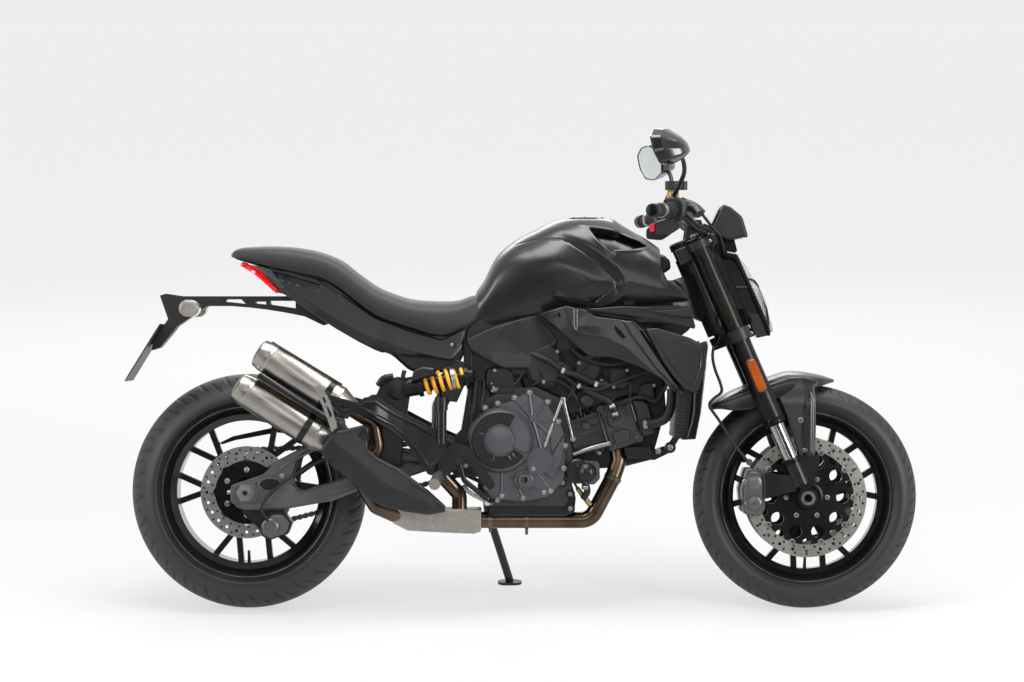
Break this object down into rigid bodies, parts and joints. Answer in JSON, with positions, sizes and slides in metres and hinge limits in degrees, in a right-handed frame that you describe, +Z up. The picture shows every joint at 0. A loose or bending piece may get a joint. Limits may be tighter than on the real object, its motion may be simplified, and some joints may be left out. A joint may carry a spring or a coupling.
{
  "type": "standard motorcycle",
  "caption": "Standard naked motorcycle parked on its side stand, with turning wheels, steering, folding stand and hinged fuel cap.",
  "frame": {"origin": "middle of the bounding box, on the road", "axes": "+X points to the front of the motorcycle, +Y to its left side, +Z up from the road; it leans 10 degrees to its left on the side stand"},
  "size_m": [2.118, 0.8899, 1.3193],
  "materials": {
    "tyre_rubber": "matte",
    "gloss_black_wheel": "gloss",
    "disc_steel": "satin",
    "sprocket_steel": "satin",
    "fork_black": "gloss",
    "stanchion_chrome": "polished",
    "cast_black": "satin",
    "axle_steel": "satin",
    "caliper_grey": "satin",
    "charcoal_paint": "satin",
    "charcoal_plastic": "satin",
    "lens_plastic": "gloss",
    "dash_plastic": "matte",
    "bar_black": "satin",
    "grip_rubber": "matte",
    "control_black": "satin",
    "mirror_shell_black": "gloss",
    "mirror_glass": "polished",
    "hose_black": "satin",
    "frame_black": "satin",
    "engine_graphite": "satin",
    "cover_graphite": "satin",
    "radiator_black": "matte",
    "airbox_plastic": "matte",
    "textured_cover": "satin",
    "seat_vinyl": "matte",
    "tail_red": "gloss",
    "hanger_plastic": "matte",
    "plate_white": "satin",
    "swingarm_grey": "satin",
    "spring_yellow": "gloss",
    "chain_steel": "satin",
    "silencer_steel": "satin",
    "header_bronze": "satin",
    "collector_steel": "satin",
    "shield_plastic": "matte",
    "bracket_alloy": "satin",
    "peg_alloy": "satin",
    "pedal_chrome": "satin",
    "stand_black": "satin"
  },
  "bodies": {
    "chassis": {"main_frame": "frame_black", "crankcase": "engine_graphite", "engine_covers": "cover_graphite", "cylinders": "engine_graphite", "air_box": "airbox_plastic", "radiator": "radiator_black", "radiator_shrouds": "charcoal_plastic", "side_fairings": "charcoal_plastic", "fuel_tank": "charcoal_paint", "tank_front_panels": "charcoal_plastic", "filler_ring": "cast_black", "side_covers": "textured_cover", "seat": "seat_vinyl", "tail_cowl": "charcoal_plastic", "tail_light": "tail_red", "plate_hanger": "hanger_plastic", "rear_turn_signals": "hanger_plastic", "licence_plate": "plate_white", "swingarm": "swingarm_grey", "rear_axle": "axle_steel", "shock_absorber": "cast_black", "shock_spring": "spring_yellow", "drive_chain": "chain_steel", "chain_guard": "hanger_plastic", "rear_caliper": "caliper_grey", "silencers": "silencer_steel", "exhaust_pipes": "header_bronze", "exhaust_collector": "collector_steel", "exhaust_shield": "shield_plastic", "footrest_brackets": "bracket_alloy", "footpegs": "peg_alloy", "foot_controls": "pedal_chrome", "side_stand_bracket": "stand_black"},
    "steering": {"fork_outer_tubes": "fork_black", "fork_stanchions": "stanchion_chrome", "fork_feet": "cast_black", "fork_yokes": "cast_black", "front_axle": "axle_steel", "front_calipers": "caliper_grey", "front_fender": "charcoal_plastic", "headlight_housing": "charcoal_plastic", "headlight_lens": "lens_plastic", "instrument_display": "dash_plastic", "handlebar": "bar_black", "handlebar_grips": "grip_rubber", "bar_controls": "control_black", "mirror_housings": "mirror_shell_black", "mirror_glasses": "mirror_glass", "front_brake_hoses": "hose_black"},
    "front_wheel": {"front_tyre": "tyre_rubber", "front_wheel_rim": "gloss_black_wheel", "front_brake_discs": "disc_steel"},
    "rear_wheel": {"rear_tyre": "tyre_rubber", "rear_wheel_rim": "gloss_black_wheel", "rear_brake_disc": "disc_steel", "rear_sprocket": "sprocket_steel"},
    "side_stand": {"side_stand": "stand_black"},
    "fuel_cap": {"fuel_cap_lid": "cast_black"}
  },
  "joints": [
    {"name": "steering", "type": "hinge", "parent": "chassis", "child": "steering", "pos_m": [0.48451, -0.06616, 0.82537], "axis": [-0.3971, 0.1594, 0.9038], "range_deg": [-30, 30]},
    {"name": "front_wheel_spin", "type": "hinge", "parent": "steering", "child": "front_wheel", "pos_m": [0.754, -0.15944, 0.29638], "axis": [0, 0.9848, -0.1736], "continuous": true},
    {"name": "rear_wheel_spin", "type": "hinge", "parent": "chassis", "child": "rear_wheel", "pos_m": [-0.738, -0.15692, 0.31067], "axis": [0, 0.9848, -0.1736], "continuous": true},
    {"name": "side_stand_fold", "type": "hinge", "parent": "chassis", "child": "side_stand", "pos_m": [-0.102, -0.0434, 0.27495], "axis": [-0.181, 0.9833, 0.0195], "range_deg": [0, 98]},
    {"name": "fuel_cap_hinge", "type": "hinge", "parent": "chassis", "child": "fuel_cap", "pos_m": [0.21, -0.03041, 1.02814], "axis": [0, 0.9848, -0.1736], "range_deg": [0, 95]}
  ]
}
